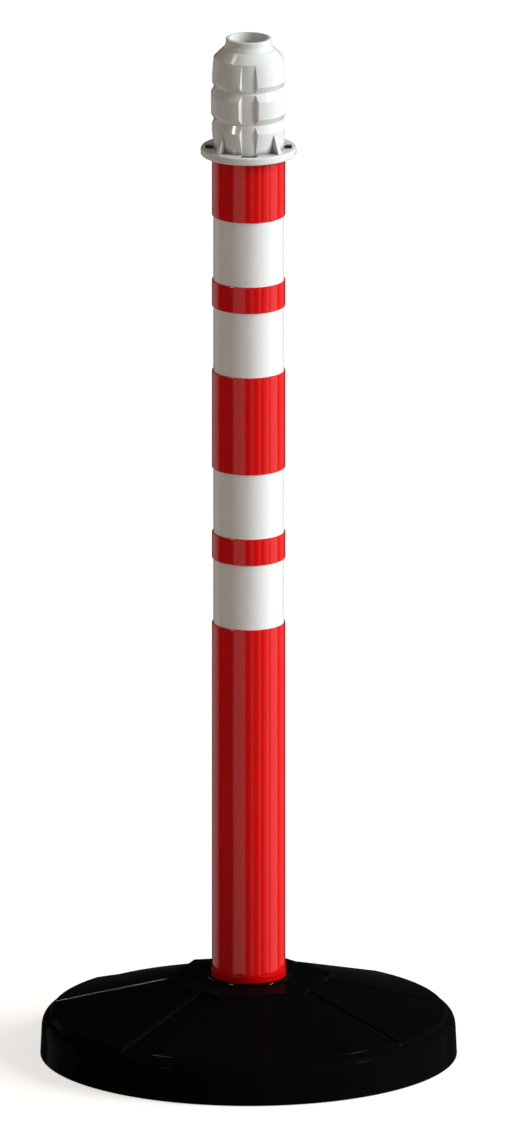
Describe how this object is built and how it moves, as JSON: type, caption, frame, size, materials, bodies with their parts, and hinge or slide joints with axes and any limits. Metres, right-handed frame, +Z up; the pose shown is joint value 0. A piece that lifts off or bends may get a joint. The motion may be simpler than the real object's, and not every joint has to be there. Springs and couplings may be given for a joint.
{
  "type": "chain stanchion",
  "caption": "Free-standing post with reflective bands, a ballasted round foot and a turning chain head with slots and a top socket.",
  "frame": {"origin": "centre of the foot on the floor", "axes": "+Z up along the post, -Y the front, +X to the right; chain slots on +X, -X, +Y and -Y"},
  "size_m": [0.396, 0.396, 0.9983],
  "materials": {
    "foot_black": "gloss",
    "foot_black_matt": "matte",
    "ballast_concrete": "matte",
    "screw_steel": "satin",
    "grip_rubber": "matte",
    "plug_red": "gloss",
    "post_red": "gloss",
    "band_white": "satin",
    "head_white": "gloss"
  },
  "bodies": {
    "foot": {"base_shell": "foot_black", "base_plate": "foot_black_matt", "ballast": "ballast_concrete", "base_screws": "screw_steel", "grip_pad_1": "grip_rubber", "grip_pad_2": "grip_rubber", "grip_pad_3": "grip_rubber", "grip_pad_4": "grip_rubber", "grip_pad_5": "grip_rubber", "grip_pad_6": "grip_rubber"},
    "post": {"foot_plug": "plug_red", "post_tube": "post_red", "reflective_band_1": "band_white", "reflective_band_2": "band_white", "reflective_band_3": "band_white", "reflective_band_4": "band_white"},
    "head": {"head": "head_white"}
  },
  "joints": [
    {"name": "post_lift", "type": "slide", "parent": "foot", "child": "post", "axis": [0, 0, 1], "range_m": [0, 0.063]},
    {"name": "head_turn", "type": "hinge", "parent": "post", "child": "head", "pos_m": [0, 0, 0.87], "axis": [0, 0, 1], "continuous": true}
  ]
}
